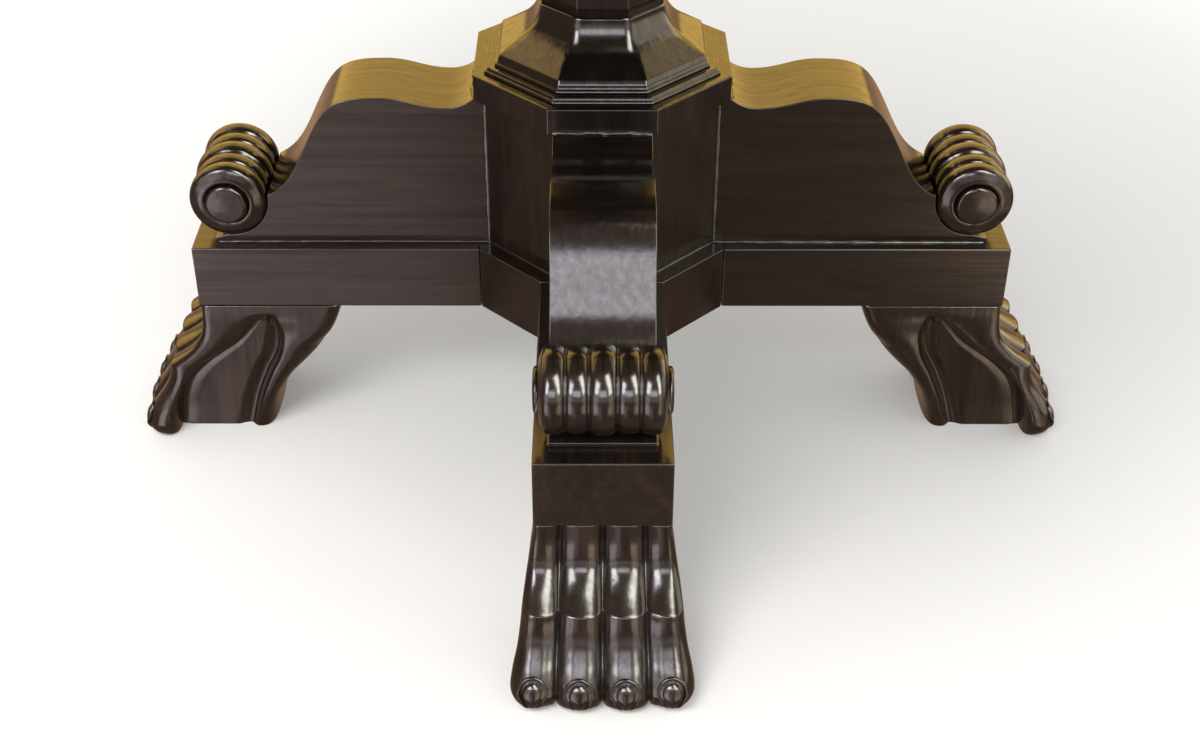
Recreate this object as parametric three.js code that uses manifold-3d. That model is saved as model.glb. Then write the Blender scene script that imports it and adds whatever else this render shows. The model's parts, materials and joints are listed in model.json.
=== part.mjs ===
// Round pedestal table: an octagonal body on four rails, each with an S-scroll bracket,
// a reeded scroll roll and a carved paw foot, under an octagonal column and a round top.
// Millimetres, +Z up, floor at z = 0, column axis at x = y = 0.
import * as THREE from 'three';
import { mergeVertices } from 'three/addons/utils/BufferGeometryUtils.js';
import Module from 'manifold-3d';

const wasm = await Module();
wasm.setup();

// ---- driving dimensions ---------------------------------------------------------------
const GAP = 0.3;                 // clearance between pieces that touch
const TABLE_HEIGHT = 762;
const TOP_RADIUS = 610;
const ARM_REACH = 390.4;         // table axis to the end of a rail
const RAIL_WIDTH = 114.3;
const RAIL_BOTTOM = 147;
const RAIL_TOP = 211.4;
const HUB_APOTHEM = 116;         // table axis to the face where a rail starts
const TENON = { length: 42, width: 32, height: 40 };

const BODY_APOTHEM = 106.3;      // octagonal body, over its flats
const STAVE_THICKNESS = 20;
const BODY_TOP = 362.5;
const CAP = { apothem: 116.6, bottom: 362.8, top: 387.1 };
const LOWER_MOULDING = { apothem: 106.6, bottom: 387.4, top: 392.5, quirk: 2.3 };
const UPPER_MOULDING = { apothem: 97, bottom: 392.8, top: 398.4, quirk: 2.3 };
const COLUMN_FOOT = { apothem: 94.2, run: 20, neck: 56, bottom: 398.7, lip: 1.2, slope: 33, steep: 85 };
const COLUMN_SHAFT = { lower: 54.5, upper: 48.5 };
const COLUMN_NECK = { apothem: 54.5, inset: 3, height: 12 };
const COLUMN_HEAD = { apothem: 92, run: 16, neck: 48.5, lip: 9, slope: 36, steep: 85, top: 668 };
const MOUNTING_PLATE = { size: 300, corner: 60, bottom: 668.3, top: 690 };
const BEARER = { length: 940, width: 62, bottom: 690.3, end: 16 };
const TOP_THICKNESS = 34;
const TOP_RIM = { width: 74, nose: 11 };

const BRACKET_WIDTH = 88;
const BRACKET_TONGUE = 366;      // table axis to the tip under the roll
const ROLL = { reach: 352.2, lift: 45.6, radius: 38.4, half: 51.6, groove: 4.4, small: 2 };
const BUTTON = { radius: 19.4, ring: 23, seat: 2.4, proud: 5.2, stub: 7, depth: 12 };

const PAW = { top: RAIL_BOTTOM - GAP, toes: 4, scallop: 11, outerSetBack: 2.4 };
const DOWEL = { radius: 13, length: 84, inRail: 40, reach: 322 };
const ROD = { radius: 6, hole: 9, bottom: 152, top: 692, thread: 8 };
const NUT = { radius: 11.5, height: 11 };
const WASHER = { radius: 17, height: 3 };
const SCREW = { reach: 400, head: 6.2, headHeight: 4, shank: 2.6, grip: 42, sink: 15 };

const OCTAGON = Math.tan(Math.PI / 8);
const ARMS = ['front', 'right', 'back', 'left'];

// ---- materials ------------------------------------------------------------------------
const wood = (color) => new THREE.MeshStandardMaterial({ color, roughness: 0.38, metalness: 0 });
const steel = (color) => new THREE.MeshStandardMaterial({ color, roughness: 0.35, metalness: 1 });
const EBONISED = 0x2a211d;
const INNER_WOOD = 0x8a6a45;
const ZINC = 0xb4b5b0;

// ---- building blocks ------------------------------------------------------------------
function solidOf(geometry) {
  const bare = geometry.clone();
  bare.deleteAttribute('normal');
  bare.deleteAttribute('uv');
  const merged = mergeVertices(bare, 1e-3);
  return new wasm.Manifold(new wasm.Mesh({
    numProp: 3,
    vertProperties: new Float32Array(merged.attributes.position.array),
    triVerts: new Uint32Array(merged.index.array),
  }));
}

function geometryOf(solid) {
  const mesh = solid.getMesh();
  const geometry = new THREE.BufferGeometry();
  geometry.setAttribute('position', new THREE.BufferAttribute(new Float32Array(mesh.vertProperties), 3));
  geometry.setIndex(new THREE.BufferAttribute(new Uint32Array(mesh.triVerts), 1));
  geometry.computeVertexNormals();
  return geometry;
}

const cut = (geometry, ...tools) => geometryOf(
  tools.reduce((solid, tool) => solid.subtract(solidOf(tool)), solidOf(geometry)));
const join = (geometry, ...others) => geometryOf(
  others.reduce((solid, other) => solid.add(solidOf(other)), solidOf(geometry)));

function box(x0, x1, y0, y1, z0, z1) {
  const geometry = new THREE.BoxGeometry(x1 - x0, y1 - y0, z1 - z0);
  return geometry.translate((x0 + x1) / 2, (y0 + y1) / 2, (z0 + z1) / 2);
}

function rod(radius, z0, z1, sides = 24) {
  const geometry = new THREE.CylinderGeometry(radius, radius, z1 - z0, sides);
  return geometry.rotateX(Math.PI / 2).translate(0, 0, (z0 + z1) / 2);
}

// A plate from a flat outline, standing from z0 to z1.
function plate(points, z0, z1) {
  const shape = new THREE.Shape(points.map(([x, y]) => new THREE.Vector2(x, y)));
  return new THREE.ExtrudeGeometry(shape, { depth: z1 - z0, bevelEnabled: false }).translate(0, 0, z0);
}

// Rings of equal count joined into one closed body; both ends are flat and star-shaped about
// their middle.
function loft(rings) {
  const count = rings[0].length;
  const positions = rings.flat(2);
  const index = [];
  for (let k = 0; k + 1 < rings.length; k += 1) {
    for (let i = 0; i < count; i += 1) {
      const j = (i + 1) % count;
      const a = k * count + i;
      const b = k * count + j;
      index.push(a, b, b + count, a, b + count, a + count);
    }
  }
  for (const [ring, flip] of [[0, true], [rings.length - 1, false]]) {
    const middle = rings[ring].reduce((sum, p) => sum.map((v, n) => v + p[n] / count), [0, 0, 0]);
    const hub = positions.length / 3;
    positions.push(...middle);
    for (let i = 0; i < count; i += 1) {
      const a = ring * count + i;
      const b = ring * count + (i + 1) % count;
      index.push(...(flip ? [hub, b, a] : [hub, a, b]));
    }
  }
  const geometry = new THREE.BufferGeometry();
  geometry.setAttribute('position', new THREE.Float32BufferAttribute(positions, 3));
  geometry.setIndex(index);
  geometry.computeVertexNormals();
  return geometry;
}

// An eight-sided ring at one height, its flats square to the X and Y axes.
function octagonRing(apothem, z) {
  return [...Array(8)].map((_, n) => {
    const angle = Math.PI / 8 + n * Math.PI / 4;
    const radius = apothem / Math.cos(Math.PI / 8);
    return [radius * Math.cos(angle), radius * Math.sin(angle), z];
  });
}

const octagonTurning = (profile) => loft(profile.map(([apothem, z]) => octagonRing(apothem, z)));

// Smooth curve through (parameter, value) points, as a function of the parameter.
function through(points) {
  const curve = new THREE.CatmullRomCurve3(
    points.map(([s, v]) => new THREE.Vector3(s, v, 0)), false, 'centripetal');
  const samples = curve.getPoints(points.length * 8);
  return (s) => {
    const last = samples.length - 1;
    if (s <= samples[0].x) return samples[0].y;
    if (s >= samples[last].x) return samples[last].y;
    const k = samples.findIndex((p) => p.x >= s);
    const [p, q] = [samples[k - 1], samples[k]];
    return p.y + (q.y - p.y) * (s - p.x) / (q.x - p.x || 1);
  };
}

// ---- base -----------------------------------------------------------------------------
// The hub is square with its four corners cut off; each rail's tenon enters a mortise.
function hubBlock() {
  const a = HUB_APOTHEM;
  const w = RAIL_WIDTH / 2;
  const outline = [[a, -w], [a, w], [w, a], [-w, a], [-a, w], [-a, -w], [-w, -a], [w, -a]];
  const mortises = ARMS.map((_, n) => box(
    a - TENON.length - GAP, a + 1,
    -TENON.width / 2 - GAP, TENON.width / 2 + GAP,
    tenonBottom() - GAP, tenonBottom() + TENON.height + GAP).rotateZ(n * Math.PI / 2));
  return cut(
    plate(outline, RAIL_BOTTOM, RAIL_TOP), ...mortises,
    rod(ROD.hole, RAIL_BOTTOM - 1, RAIL_TOP + 1),
    rod(WASHER.radius + 5, RAIL_BOTTOM - 1, lowerWasher() + WASHER.height + GAP));
}

const tenonBottom = () => (RAIL_BOTTOM + RAIL_TOP - TENON.height) / 2;

// A rail along +X with its tenon at the hub end and a hole for the paw's dowel.
function rail() {
  const body = box(HUB_APOTHEM + GAP, ARM_REACH, -RAIL_WIDTH / 2, RAIL_WIDTH / 2, RAIL_BOTTOM, RAIL_TOP);
  const tenon = box(
    HUB_APOTHEM - TENON.length, HUB_APOTHEM + 1,
    -TENON.width / 2, TENON.width / 2, tenonBottom(), tenonBottom() + TENON.height);
  const hole = rod(DOWEL.radius + GAP, RAIL_BOTTOM - 1, RAIL_BOTTOM + DOWEL.inRail + GAP)
    .translate(DOWEL.reach, 0, 0);
  return cut(join(body, tenon), hole);
}

// The bracket's S-shaped top edge, from the cap out and down to the roll, heights above the rail.
function bracket() {
  const inner = BODY_APOTHEM + GAP;
  const top = BODY_TOP - RAIL_TOP;
  const shape = new THREE.Shape();
  shape.moveTo(inner, GAP);
  shape.lineTo(BRACKET_TONGUE, GAP);
  const seat = ROLL.radius + GAP;
  const tip = Math.asin((BRACKET_TONGUE - ROLL.reach) / seat);
  shape.lineTo(BRACKET_TONGUE, ROLL.lift - seat * Math.cos(tip));
  shape.absarc(ROLL.reach, ROLL.lift, seat, tip - Math.PI / 2, -Math.PI * 1.04, true);
  shape.bezierCurveTo(293, 60, 285, 82, 272, 108);
  shape.bezierCurveTo(258, 136, 240, 151, 205, 151);
  shape.bezierCurveTo(180, 151, 168, 141, 143, 141);
  shape.bezierCurveTo(130, 141, 122, 147, inner + 10, top);
  shape.lineTo(inner, top);
  const options = { depth: BRACKET_WIDTH, bevelEnabled: false, curveSegments: 9 };
  return new THREE.ExtrudeGeometry(shape, options)
    .rotateX(Math.PI / 2)
    .translate(0, BRACKET_WIDTH / 2, RAIL_TOP);
}

// The roll is turned about its own axis with five reeds, every second one smaller, and a
// socket in each end for a button.
function scrollRoll() {
  const reeds = 5;
  const pitch = 2 * ROLL.half / reeds;
  const profile = [new THREE.Vector2(0, -ROLL.half + BUTTON.seat + BUTTON.stub)];
  profile.push(new THREE.Vector2(BUTTON.depth + GAP, -ROLL.half + BUTTON.seat + BUTTON.stub));
  profile.push(new THREE.Vector2(BUTTON.depth + GAP, -ROLL.half + BUTTON.seat));
  profile.push(new THREE.Vector2(BUTTON.ring, -ROLL.half + BUTTON.seat));
  profile.push(new THREE.Vector2(BUTTON.ring + 1.5, -ROLL.half));
  for (let n = 0; n < reeds; n += 1) {
    const crown = ROLL.radius - (n % 2 ? ROLL.small : 0);
    for (const t of [-0.5, -0.36, 0.36]) {
      const rise = Math.sqrt(1 - (2 * t) ** 2);
      profile.push(new THREE.Vector2(crown - ROLL.groove * (1 - rise), (n + 0.5 + t) * pitch - ROLL.half));
    }
  }
  const half = profile.filter((p) => p.y < -1e-6);
  const mirrored = half.slice().reverse().map((p) => new THREE.Vector2(p.x, -p.y));
  const geometry = new THREE.LatheGeometry([...half, ...mirrored], 20);
  return geometry.translate(ROLL.reach, 0, RAIL_TOP + ROLL.lift);
}

// A turned button: a low dome with a bevelled edge, and a stub that enters the roll.
function scrollButton() {
  const outward = ROLL.half - BUTTON.seat + GAP;
  const face = ROLL.half + BUTTON.proud;
  const profile = [
    [0, outward - BUTTON.stub + GAP],
    [BUTTON.depth, outward - BUTTON.stub + GAP],
    [BUTTON.depth, outward],
    [BUTTON.radius, outward],
    [BUTTON.radius, face - 2.4],
    [BUTTON.radius - 4, face - 0.4],
    [0, face],
  ].map(([r, h]) => new THREE.Vector2(r, h));
  return new THREE.LatheGeometry(profile, 20);
}

// ---- paw ------------------------------------------------------------------------------
// Everything is a function of height: where the toes reach, where the heel ends, and how wide
// the toes, the side hollow and the heel are. Each pair is (height, value).
const toeReach = through([[0, 450], [3, 455], [8, 458.6], [15, 460.3], [24, 458.2], [34, 452.3],
  [46, 443.8], [60, 435], [72, 430.5], [81, 429], [94, 409], [107, 394], [115, 391], [147, 389.2]]);
const toeHalfWidth = through([[0, 66], [7, 73.6], [16, 75.6], [30, 74.4], [50, 70.8], [66, 68.4],
  [80, 67], [94, 64.5], [107, 62], [126, 59.5], [147, 57.9]]);
const toePitch = through([[0, 38.4], [10, 38.4], [80, 36.3], [147, 34.8]]);
const toeRoot = through([[0, 427], [15, 424.5], [34, 421.5], [55, 414], [74, 397], [86, 381],
  [101, 360], [115, 347], [128, 336], [138, 329], [147, 329]]);
const hollowHalfWidth = through([[0, 50.2], [30, 49.6], [60, 49.8], [100, 51.2], [128, 53.5],
  [138, 57.1], [147, 57.1]]);
const heelEdge = through([[0, 356], [34, 347], [65, 335], [95, 321], [113, 318], [128, 322],
  [138, 324], [147, 324]]);
const heelHalfWidth = through([[0, 53.5], [20, 56.6], [50, 58.6], [90, 58.6], [120, 57.6], [147, 57.1]]);
const heelReach = through([[0, 331], [20, 327.5], [38, 321], [50, 314], [64, 303], [76, 290],
  [92, 276], [115, 264], [147, 252]]);
const heelRound = through([[0, 18], [60, 16], [95, 12], [140, 5], [147, 4]]);

function pawRing(z) {
  const points = [];
  const width = toeHalfWidth(z);
  const pitch = toePitch(z);
  const reach = toeReach(z);
  const scallop = PAW.scallop * THREE.MathUtils.clamp((PAW.top + 2 - z) / 22, 0.05, 1);
  const outer = PAW.outerSetBack * THREE.MathUtils.clamp((PAW.top - z) / 60, 0, 1);
  const crest = (PAW.toes - 1) / 2;
  const across = (s) => Math.sign(s) * (Math.abs(s) <= crest
    ? Math.abs(s) * pitch
    : crest * pitch + (Math.abs(s) - crest) * 2 * (width - crest * pitch));
  for (let toe = 0; toe < PAW.toes; toe += 1) {
    const setBack = toe % (PAW.toes - 1) === 0 ? outer : 0;
    for (const t of toe === 0 ? [-0.3, 0, 0.3] : [-0.5, -0.3, 0, 0.3]) {
      const drop = scallop * (1 - Math.sqrt(1 - (2 * t) ** 2));
      points.push([reach - setBack - drop, across(toe - crest + t), z]);
    }
  }
  const firstSide = points.length;
  const shoulder = Math.min(THREE.MathUtils.lerp(toeRoot(z), reach, 0.6), reach - outer - scallop);
  points.push([shoulder, width, z]);
  points.push([toeRoot(z) + 4, (width + hollowHalfWidth(z)) / 2 + 2, z]);
  points.push([toeRoot(z), hollowHalfWidth(z), z]);
  points.push([(toeRoot(z) + heelEdge(z)) / 2 + 1, hollowHalfWidth(z), z]);
  points.push([heelEdge(z) + 1, hollowHalfWidth(z), z]);
  points.push([heelEdge(z) - 4, heelHalfWidth(z), z]);
  const side = points.slice(firstSide);
  const round = heelRound(z);
  points.push([heelReach(z) + round, heelHalfWidth(z) - 1, z]);
  points.push([heelReach(z), heelHalfWidth(z) - round, z]);
  points.push([heelReach(z), -heelHalfWidth(z) + round, z]);
  points.push([heelReach(z) + round, -heelHalfWidth(z) + 1, z]);
  points.push(...side.reverse().map(([x, y]) => [x, -y, z]));
  return points;
}

function paw() {
  const levels = [0, 8, 18, 32, 48, 66, 80, 94, 107, 126, PAW.top];
  const hole = rod(DOWEL.radius + GAP, PAW.top - (DOWEL.length - DOWEL.inRail) - GAP, PAW.top + 1)
    .translate(DOWEL.reach, 0, 0);
  return cut(loft(levels.map(pawRing)), hole);
}

function pawDowel() {
  const top = RAIL_BOTTOM + DOWEL.inRail;
  return rod(DOWEL.radius, top - DOWEL.length, top).translate(DOWEL.reach, 0, 0);
}

// ---- body, cap and column -------------------------------------------------------------
// One of eight mitred staves that stand on the hub; its outer flat faces +X.
function bodyStave() {
  const inner = BODY_APOTHEM - STAVE_THICKNESS;
  const mitre = GAP / 2 / Math.cos(Math.PI / 8);
  return plate([
    [inner, -inner * OCTAGON + mitre],
    [BODY_APOTHEM, -BODY_APOTHEM * OCTAGON + mitre],
    [BODY_APOTHEM, BODY_APOTHEM * OCTAGON - mitre],
    [inner, inner * OCTAGON - mitre],
  ], RAIL_TOP + GAP, BODY_TOP);
}

const centreHole = () => rod(ROD.hole, RAIL_BOTTOM, TABLE_HEIGHT);
const capSlab = () => cut(octagonTurning([[CAP.apothem, CAP.bottom], [CAP.apothem, CAP.top]]), centreHole());

// A thin octagonal plate whose edge has one small step halfway up.
function moulding({ apothem, bottom, top, quirk }) {
  const middle = (bottom + top) / 2;
  const profile = [[apothem, bottom], [apothem, middle], [apothem - quirk, middle], [apothem - quirk, top]];
  return cut(octagonTurning(profile), centreHole());
}

// A hollow curve from a wide octagon up to a narrow one: a straight run at one slope, then an
// arc that ends at a steeper one, both in degrees from level.
function cove({ apothem, run, neck, slope, steep }, steps = 6) {
  const [start, end] = [slope, steep].map(THREE.MathUtils.degToRad);
  const radius = (apothem - run - neck) / (Math.sin(end) - Math.sin(start));
  const arc = [...Array(steps + 1)].map((_, n) => {
    const angle = start + (end - start) * n / steps;
    return [
      apothem - run - radius * (Math.sin(angle) - Math.sin(start)),
      run * Math.tan(start) + radius * (Math.cos(start) - Math.cos(angle)),
    ];
  });
  return [[apothem, 0], ...arc];
}

const footCove = cove(COLUMN_FOOT).map(([a, rise]) => [a, COLUMN_FOOT.bottom + COLUMN_FOOT.lip + rise]);
const headCove = cove(COLUMN_HEAD).reverse()
  .map(([a, rise]) => [a, COLUMN_HEAD.top - COLUMN_HEAD.lip - rise]);
const shaftBottom = footCove.at(-1)[1] + GAP;
const neckTop = headCove[0][1] - GAP;
const neckBottom = neckTop - COLUMN_NECK.height;

const columnFoot = () => cut(
  octagonTurning([[COLUMN_FOOT.apothem, COLUMN_FOOT.bottom], ...footCove]), centreHole());
const columnShaft = () => cut(
  octagonTurning([[COLUMN_SHAFT.lower, shaftBottom], [COLUMN_SHAFT.upper, neckBottom - GAP]]), centreHole());
const columnHead = () => cut(
  octagonTurning([...headCove, [COLUMN_HEAD.apothem, COLUMN_HEAD.top]]), centreHole());

function columnNeck() {
  const { apothem, inset } = COLUMN_NECK;
  const profile = [
    [apothem - inset, neckBottom],
    [apothem, neckBottom + inset],
    [apothem, neckTop - inset],
    [apothem - inset, neckTop],
  ];
  return cut(octagonTurning(profile), centreHole());
}

// ---- top ------------------------------------------------------------------------------
function mountingPlate() {
  const half = MOUNTING_PLATE.size / 2;
  const c = half - MOUNTING_PLATE.corner;
  const outline = [
    [half, -c], [half, c], [c, half], [-c, half], [-half, c], [-half, -c], [-c, -half], [c, -half],
  ];
  const recess = rod(WASHER.radius + 5, upperWasher() - GAP, TABLE_HEIGHT);
  return cut(plate(outline, MOUNTING_PLATE.bottom, MOUNTING_PLATE.top), centreHole(), recess);
}

const bearerTop = () => TABLE_HEIGHT - TOP_THICKNESS - GAP;

// A bearer along X with tapered ends, half lapped at the middle; side is 1 where the notch
// is in its top and -1 where it is in its bottom.
function bearer(side) {
  const { length, width, bottom, end } = BEARER;
  const half = length / 2;
  const top = bearerTop();
  const taper = 60;
  const shape = new THREE.Shape();
  shape.moveTo(-half, top);
  shape.lineTo(-half, bottom + end);
  shape.lineTo(-half + taper, bottom);
  shape.lineTo(half - taper, bottom);
  shape.lineTo(half, bottom + end);
  shape.lineTo(half, top);
  const bar = new THREE.ExtrudeGeometry(shape, { depth: width, bevelEnabled: false })
    .rotateX(Math.PI / 2).translate(0, width / 2, 0);
  const middle = (bottom + top) / 2;
  const notch = width / 2 + GAP;
  const [low, high] = side > 0 ? [middle - GAP / 2, top + 1] : [bottom - 1, middle + GAP / 2];
  const screwHoles = [-1, 1].map((way) => rod(SCREW.head + GAP, bottom - 1, bottom + SCREW.sink, 16)
    .translate(way * SCREW.reach, 0, 0));
  const shankHoles = [-1, 1].map((way) => rod(SCREW.shank + GAP, bottom - 1, top + 1, 16)
    .translate(way * SCREW.reach, 0, 0));
  const nutRoom = rod(WASHER.radius + 5, bottom - 1, bottom + 4);
  return cut(bar, box(-notch, notch, -notch, notch, low, high), ...screwHoles, ...shankHoles, nutRoom);
}

function topPanel() {
  const radius = TOP_RADIUS - TOP_RIM.width - GAP;
  const holes = [0, 1, 2, 3].map((n) => rod(
    SCREW.shank + GAP, TABLE_HEIGHT - TOP_THICKNESS - 1, screwTop() + GAP, 16)
    .translate(SCREW.reach, 0, 0).rotateZ(n * Math.PI / 2));
  return cut(rod(radius, TABLE_HEIGHT - TOP_THICKNESS, TABLE_HEIGHT, 80), ...holes);
}

// The rim is a ring with a rounded nose above a hollow on its outer edge.
function topRim() {
  const inner = TOP_RADIUS - TOP_RIM.width;
  const bottom = TABLE_HEIGHT - TOP_THICKNESS;
  const nose = TOP_RIM.nose;
  const profile = [
    [inner, bottom],
    [TOP_RADIUS - 22, bottom],
    [TOP_RADIUS - 20, bottom + 6],
    [TOP_RADIUS - 12, bottom + 10],
    [TOP_RADIUS - 4, TABLE_HEIGHT - 2 * nose],
    [TOP_RADIUS, TABLE_HEIGHT - 1.6 * nose],
    [TOP_RADIUS, TABLE_HEIGHT - 0.5 * nose],
    [TOP_RADIUS - 0.5 * nose, TABLE_HEIGHT],
    [inner, TABLE_HEIGHT],
    [inner, bottom],
  ].map(([r, z]) => new THREE.Vector2(r, z));
  return new THREE.LatheGeometry(profile, 80).rotateX(Math.PI / 2);
}

// ---- fasteners ------------------------------------------------------------------------
const ringOnRod = (radius, z, height, sides) => cut(
  rod(radius, z, z + height, sides), rod(ROD.radius + GAP, z - 1, z + height + 1));
const nut = (z) => ringOnRod(NUT.radius, z, NUT.height, 6);
const washer = (z) => ringOnRod(WASHER.radius, z, WASHER.height, 24);
const lowerNut = () => ROD.bottom + ROD.thread;
const lowerWasher = () => lowerNut() + NUT.height + GAP;
const upperNut = () => ROD.top - 2 - NUT.height;
const upperWasher = () => upperNut() - WASHER.height - GAP;
const screwBottom = () => BEARER.bottom + SCREW.sink - SCREW.headHeight - GAP;
const screwTop = () => screwBottom() + SCREW.headHeight + SCREW.grip;

// A round-headed wood screw, head down, sunk in the bearer and ending inside the top.
function topScrew() {
  const z = screwBottom();
  const profile = [
    [0, z],
    [SCREW.head, z],
    [SCREW.head, z + SCREW.headHeight],
    [SCREW.shank, z + SCREW.headHeight],
    [SCREW.shank, screwTop() - 6],
    [0, screwTop()],
  ].map(([r, h]) => new THREE.Vector2(r, h));
  return new THREE.LatheGeometry(profile, 10).rotateX(Math.PI / 2).translate(SCREW.reach, 0, 0);
}

// ---- assembly -------------------------------------------------------------------------
const table = new THREE.Group();

function add(name, geometry, material, parent = table) {
  const mesh = new THREE.Mesh(geometry, material);
  mesh.name = name;
  parent.add(mesh);
  return mesh;
}

add('hub_block', hubBlock(), wood(EBONISED));
ARMS.forEach((arm, n) => {
  const group = new THREE.Group();
  group.rotation.z = (n - 1) * Math.PI / 2;
  table.add(group);
  add(`rail_${arm}`, rail(), wood(EBONISED), group);
  add(`bracket_${arm}`, bracket(), wood(EBONISED), group);
  add(`scroll_roll_${arm}`, scrollRoll(), wood(EBONISED), group);
  for (const [side, way] of [['a', -1], ['b', 1]]) {
    const button = add(`scroll_button_${arm}_${side}`, scrollButton(), wood(EBONISED), group);
    button.rotation.z = way > 0 ? 0 : Math.PI;
    button.position.set(ROLL.reach, 0, RAIL_TOP + ROLL.lift);
  }
  add(`paw_${arm}`, paw(), wood(EBONISED), group);
  add(`paw_dowel_${arm}`, pawDowel(), wood(INNER_WOOD), group);
  add(`top_screw_${arm}`, topScrew(), steel(ZINC), group);
});

const compass = ['right', 'back_right', 'back', 'back_left', 'left', 'front_left', 'front', 'front_right'];
compass.forEach((side, n) => {
  add(`body_stave_${side}`, bodyStave(), wood(EBONISED)).rotation.z = n * Math.PI / 4;
});

add('cap_slab', capSlab(), wood(EBONISED));
add('cap_moulding_lower', moulding(LOWER_MOULDING), wood(EBONISED));
add('cap_moulding_upper', moulding(UPPER_MOULDING), wood(EBONISED));
add('column_foot', columnFoot(), wood(EBONISED));
add('column_shaft', columnShaft(), wood(EBONISED));
add('column_neck', columnNeck(), wood(EBONISED));
add('column_head', columnHead(), wood(EBONISED));
add('mounting_plate', mountingPlate(), wood(INNER_WOOD));
add('bearer_long', bearer(1), wood(INNER_WOOD));
add('bearer_cross', bearer(-1), wood(INNER_WOOD)).rotation.z = Math.PI / 2;
add('top_panel', topPanel(), wood(EBONISED));
add('top_rim', topRim(), wood(EBONISED));

add('tie_rod', rod(ROD.radius, ROD.bottom, ROD.top), steel(ZINC));
add('tie_rod_nut_lower', nut(lowerNut()), steel(ZINC));
add('tie_rod_washer_lower', washer(lowerWasher()), steel(ZINC));
add('tie_rod_nut_upper', nut(upperNut()), steel(ZINC));
add('tie_rod_washer_upper', washer(upperWasher()), steel(ZINC));

export default table;
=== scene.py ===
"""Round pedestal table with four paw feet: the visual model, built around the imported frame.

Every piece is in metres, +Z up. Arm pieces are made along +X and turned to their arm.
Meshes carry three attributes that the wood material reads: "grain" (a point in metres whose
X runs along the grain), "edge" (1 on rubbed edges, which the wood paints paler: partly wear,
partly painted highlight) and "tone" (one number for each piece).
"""
import json
import math

import bmesh
import bpy
import numpy as np
from mathutils import Matrix, Vector

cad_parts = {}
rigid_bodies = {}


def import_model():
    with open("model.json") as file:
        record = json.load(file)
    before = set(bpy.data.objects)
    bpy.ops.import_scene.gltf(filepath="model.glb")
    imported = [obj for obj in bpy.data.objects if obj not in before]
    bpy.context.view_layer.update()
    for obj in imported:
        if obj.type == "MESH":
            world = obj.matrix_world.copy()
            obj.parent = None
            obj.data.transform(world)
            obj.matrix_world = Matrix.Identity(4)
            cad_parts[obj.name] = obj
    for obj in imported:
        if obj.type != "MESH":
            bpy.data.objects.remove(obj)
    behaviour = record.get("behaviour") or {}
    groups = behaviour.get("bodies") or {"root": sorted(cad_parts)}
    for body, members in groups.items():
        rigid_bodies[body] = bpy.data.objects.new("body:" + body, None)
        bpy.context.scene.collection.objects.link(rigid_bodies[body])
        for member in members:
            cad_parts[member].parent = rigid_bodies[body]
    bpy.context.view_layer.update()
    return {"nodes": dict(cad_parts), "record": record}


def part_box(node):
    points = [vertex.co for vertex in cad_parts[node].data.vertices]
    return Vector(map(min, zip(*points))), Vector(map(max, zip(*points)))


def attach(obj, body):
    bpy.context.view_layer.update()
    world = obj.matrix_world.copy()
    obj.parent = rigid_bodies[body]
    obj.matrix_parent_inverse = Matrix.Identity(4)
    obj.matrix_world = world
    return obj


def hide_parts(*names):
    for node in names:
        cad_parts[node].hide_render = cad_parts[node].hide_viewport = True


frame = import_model()

BODY = "root"
MM = 0.001
ARM_ANGLES = {"front": -90, "right": 0, "back": 90, "left": 180}
DARK, INNER, ZINC = "ebonised_wood", "inner_wood", "zinc_steel"
GAP = 0.3             # millimetres between neighbouring pieces
FILLER_WEAR_AND_SHEEN = 0.35    # how much paler the fillets of filler are painted, from 0 to 1: partly rubbed filler, partly painted highlight
GOLDEN_RATIO = 0.618034

# ---- places taken from the frame ----------------------------------------------------------
BRACKET_LOW, BRACKET_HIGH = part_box("bracket_right")
ROLL_LOW, ROLL_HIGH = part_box("scroll_roll_right")
CAP_LOW, CAP_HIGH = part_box("cap_slab")
TOP_LOW, TOP_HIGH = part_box("top_rim")
PANEL_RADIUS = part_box("top_panel")[1].x
PAW_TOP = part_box("paw_right")[1].z
RAIL_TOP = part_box("rail_right")[1].z
HUB_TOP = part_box("hub_block")[1].z
HALF_BRACKET = BRACKET_HIGH.y
BODY_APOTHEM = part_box("body_stave_right")[1].x
ROLL_REACH = (ROLL_LOW.x + ROLL_HIGH.x) / 2
ROLL_Z = (ROLL_LOW.z + ROLL_HIGH.z) / 2
ROLL_RADIUS = (ROLL_HIGH.z - ROLL_LOW.z) / 2
ROLL_HALF = ROLL_HIGH.y
BUTTON_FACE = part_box("scroll_button_right_b")[1].y
ROD_HOLE = 9 * MM
COLUMN_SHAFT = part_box("column_shaft")[1].x


# ---- small tools ---------------------------------------------------------------------------
def smoothstep(low, high, x):
    t = np.clip((np.asarray(x, float) - low) / (high - low), 0, 1)
    return t * t * (3 - 2 * t)


def through(points):
    """A smooth curve through (height, value) points that doesn't overshoot them."""
    points = sorted(points)
    x = np.array([p[0] for p in points], float)
    y = np.array([p[1] for p in points], float)
    h = np.diff(x)
    rise = np.diff(y) / h
    slope = np.zeros(len(x))
    slope[0], slope[-1] = rise[0], rise[-1]
    for k in range(1, len(x) - 1):
        if rise[k - 1] * rise[k] > 0:
            a, b = 2 * h[k] + h[k - 1], h[k] + 2 * h[k - 1]
            slope[k] = (a + b) / (a / rise[k - 1] + b / rise[k])

    def value(z):
        z = np.clip(z, x[0], x[-1])
        k = np.clip(np.searchsorted(x, z) - 1, 0, len(h) - 1)
        t = (z - x[k]) / h[k]
        stay = y[k] * (1 + 2 * t) * (1 - t) ** 2 + y[k + 1] * t * t * (3 - 2 * t)
        return stay + h[k] * (slope[k] * t * (1 - t) ** 2 + slope[k + 1] * t * t * (t - 1))
    return value


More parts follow.
